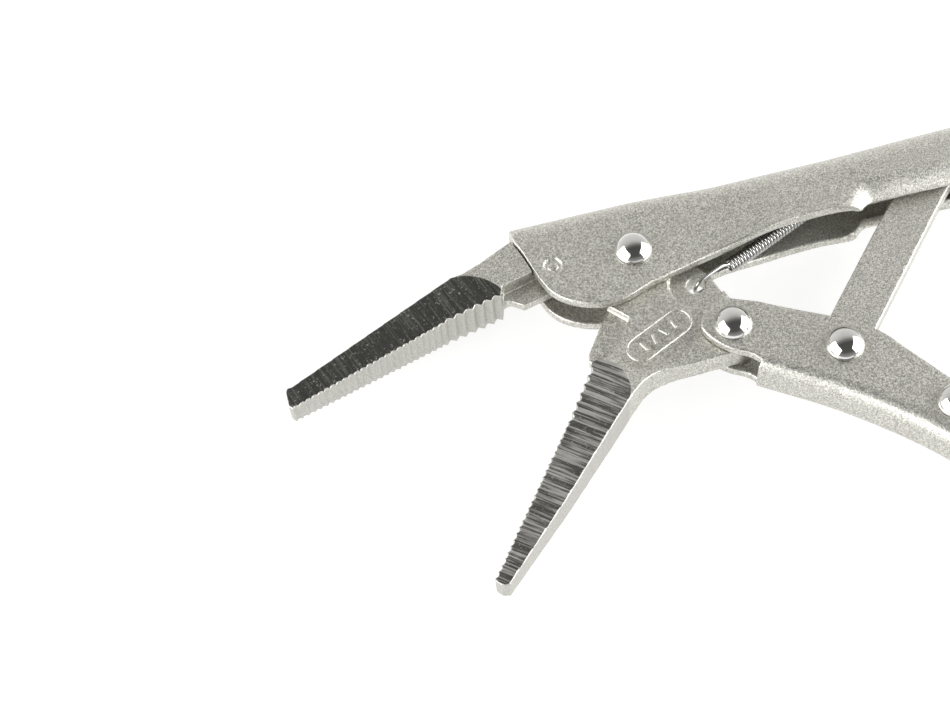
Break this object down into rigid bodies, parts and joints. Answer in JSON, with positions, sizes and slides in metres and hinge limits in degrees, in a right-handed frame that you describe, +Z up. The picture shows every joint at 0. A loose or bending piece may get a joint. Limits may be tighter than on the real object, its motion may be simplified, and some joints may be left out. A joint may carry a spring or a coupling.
{
  "type": "locking pliers",
  "caption": "Long-nose locking pliers lying open on one side: toothed jaws with a wire cutter, sheet-steel handles, toggle link, release lever and adjusting screw.",
  "frame": {"origin": "bottom centre of the bounding box of the pliers as they lie open on one side", "axes": "+X back along the upper handle and its screw, +Y from the lower handle towards the upper one, +Z up along the rivets"},
  "size_m": [0.2274, 0.1356, 0.0171],
  "materials": {
    "satin_nickel": "satin",
    "forged_jaw": "satin",
    "polished_rivet": "polished",
    "spring_wire": "polished",
    "threaded_steel": "satin"
  },
  "bodies": {
    "upper_body": {"upper_handle": "satin_nickel", "fixed_jaw": "forged_jaw", "fixed_jaw_pin": "satin_nickel", "main_pivot_rivet": "polished_rivet", "tension_spring": "spring_wire"},
    "moving_jaw": {"moving_jaw": "forged_jaw"},
    "lower_handle": {"lower_handle": "satin_nickel", "jaw_handle_rivet": "polished_rivet", "link_rivet": "polished_rivet", "lever_rivet": "polished_rivet"},
    "toggle_link": {"toggle_link": "satin_nickel"},
    "release_lever": {"release_lever": "satin_nickel"},
    "screw": {"adjusting_screw": "threaded_steel"},
    "knob": {"adjusting_knob": "threaded_steel"}
  },
  "joints": [
    {"name": "jaw_pivot", "type": "hinge", "parent": "upper_body", "child": "moving_jaw", "pos_m": [-0.0383, 0.05388, 0.00855], "axis": [0, 0, -1], "range_deg": [0, 41.5], "stiffness_Nm_per_rad": 0.1, "deforming": ["tension_spring"]},
    {"name": "handle_pivot", "type": "hinge", "parent": "moving_jaw", "child": "lower_handle", "pos_m": [-0.02415, 0.03155, 0.00855], "axis": [0, 0, 1], "range_deg": [0, 96]},
    {"name": "link_pivot", "type": "hinge", "parent": "lower_handle", "child": "toggle_link", "pos_m": [-0.00464, 0.02109, 0.00855], "axis": [0, 0, -1], "range_deg": [0, 77]},
    {"name": "lever_pivot", "type": "hinge", "parent": "lower_handle", "child": "release_lever", "pos_m": [0.01156, 0.00333, 0.00855], "axis": [0, 0, -1], "range_deg": [0, 10]},
    {"name": "screw_slide", "type": "slide", "parent": "upper_body", "child": "screw", "axis": [1, 0, 0], "range_m": [0, 0.012]},
    {"name": "knob_turn", "type": "hinge", "parent": "screw", "child": "knob", "pos_m": [0.1067, 0.05938, 0.00855], "axis": [1, 0, 0], "range_deg": [0, 3456]}
  ],
  "couplings": [
    {"joint": "handle_pivot", "follows": "jaw_pivot", "ratio": 2.2916},
    {"joint": "link_pivot", "follows": "jaw_pivot", "ratio": 1.8313},
    {"joint": "knob_turn", "follows": "screw_slide", "rad_per_m": 5026.5}
  ]
}
